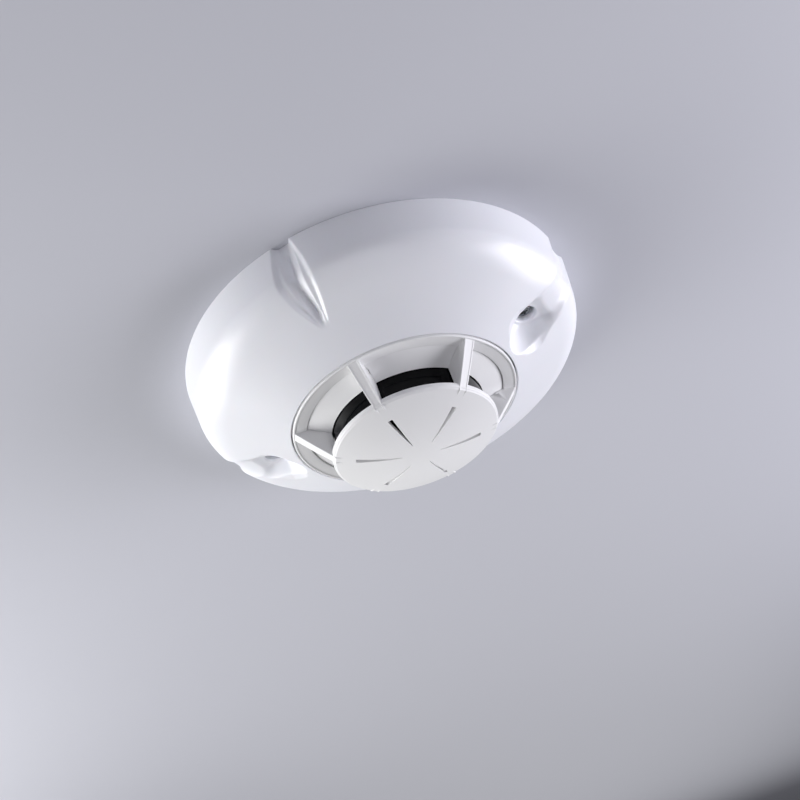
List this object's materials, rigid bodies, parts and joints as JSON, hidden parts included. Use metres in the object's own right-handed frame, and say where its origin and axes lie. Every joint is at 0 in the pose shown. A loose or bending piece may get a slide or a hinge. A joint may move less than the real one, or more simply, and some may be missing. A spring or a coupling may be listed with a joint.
{
  "type": "heat detector",
  "caption": "Heat detector with a ribbed, vented sensing head plugged into a terminal socket inside a wide domed base cover held by recessed screws.",
  "frame": {"origin": "centre of the wall face, on the head's axis", "axes": "+Z out of the wall towards the head's cap; -Y is the side of the plain grip groove; the cover screws lie on +X and -X"},
  "size_m": [0.16, 0.1598, 0.0548],
  "materials": {
    "cover_abs": "moulded satin ABS, cool white",
    "head_abs": "moulded satin ABS, slightly warmer white",
    "plate_abs": "moulded ABS, white",
    "drum_black": "moulded polycarbonate, gloss black",
    "screw_steel": "machined and passivated steel",
    "zinc_steel": "zinc plated steel",
    "brass": "knurled brass",
    "seal_rubber": "moulded rubber",
    "socket_pbt": "moulded PBT, white",
    "spring_bronze": "stamped phosphor bronze",
    "board_green": "solder mask over glass epoxy board",
    "block_green": "moulded polyamide, green",
    "relay_black": "moulded epoxy, black",
    "capacitor_can": "drawn aluminium can",
    "wire_red": "extruded PVC, red",
    "label_silver": "blank polyester label",
    "led_clear": "moulded epoxy, clear",
    "light_pipe": "moulded polycarbonate light pipe, dark smoked red",
    "bead_epoxy": "dipped epoxy, black"
  },
  "bodies": {
    "base": {"mounting_plate": "plate_abs", "cover_inserts": "brass", "edge_gasket": "seal_rubber", "socket_body": "socket_pbt", "socket_screws": "zinc_steel", "contact_springs": "spring_bronze", "terminal_clamps": "zinc_steel", "terminal_screws": "zinc_steel", "base_board": "board_green", "board_screws": "zinc_steel", "terminal_block": "block_green", "block_screws": "zinc_steel", "isolator_relay": "relay_black", "base_capacitor": "capacitor_can", "link_wires": "wire_red"},
    "cover": {"dome_cover": "cover_abs"},
    "washer_left": {"screw_washer_left": "screw_steel"},
    "washer_right": {"screw_washer_right": "screw_steel"},
    "screw_left": {"cover_screw_left": "screw_steel"},
    "screw_right": {"cover_screw_right": "screw_steel"},
    "head": {"head_cover": "head_abs", "vent_deck": "head_abs", "sensing_drum": "drum_black", "head_housing": "head_abs", "head_seal": "seal_rubber", "head_screws": "zinc_steel", "contact_blades": "spring_bronze", "rating_label": "label_silver", "head_board": "board_green", "head_processor": "relay_black", "head_capacitors": "capacitor_can", "head_resistors": "relay_black", "indicator_led": "led_clear", "light_guide": "light_pipe", "thermistor_leads": "zinc_steel", "thermistor_bead": "bead_epoxy"}
  },
  "joints": [
    {"name": "cover_lift", "type": "slide", "parent": "base", "child": "cover", "axis": [0, 0, 1], "range_m": [0, 0.06]},
    {"name": "head_twist", "type": "hinge", "parent": "base", "child": "head", "pos_m": [0, 0, 0.022], "axis": [0, 0, 1], "range_deg": [0, 20]},
    {"name": "screw_left_lift", "type": "slide", "parent": "cover", "child": "washer_left", "axis": [0, 0, 1], "range_m": [0, 0.0042]},
    {"name": "screw_left_turn", "type": "hinge", "parent": "washer_left", "child": "screw_left", "pos_m": [-0.058, 0, 0.018], "axis": [0, 0, 1], "range_deg": [0, 2160]},
    {"name": "screw_right_lift", "type": "slide", "parent": "cover", "child": "washer_right", "axis": [0, 0, 1], "range_m": [0, 0.0042]},
    {"name": "screw_right_turn", "type": "hinge", "parent": "washer_right", "child": "screw_right", "pos_m": [0.058, 0, 0.018], "axis": [0, 0, 1], "range_deg": [0, 2160]}
  ],
  "couplings": [
    {"joint": "screw_left_turn", "follows": "screw_left_lift", "rad_per_m": 8976},
    {"joint": "screw_right_turn", "follows": "screw_right_lift", "rad_per_m": 8976}
  ]
}
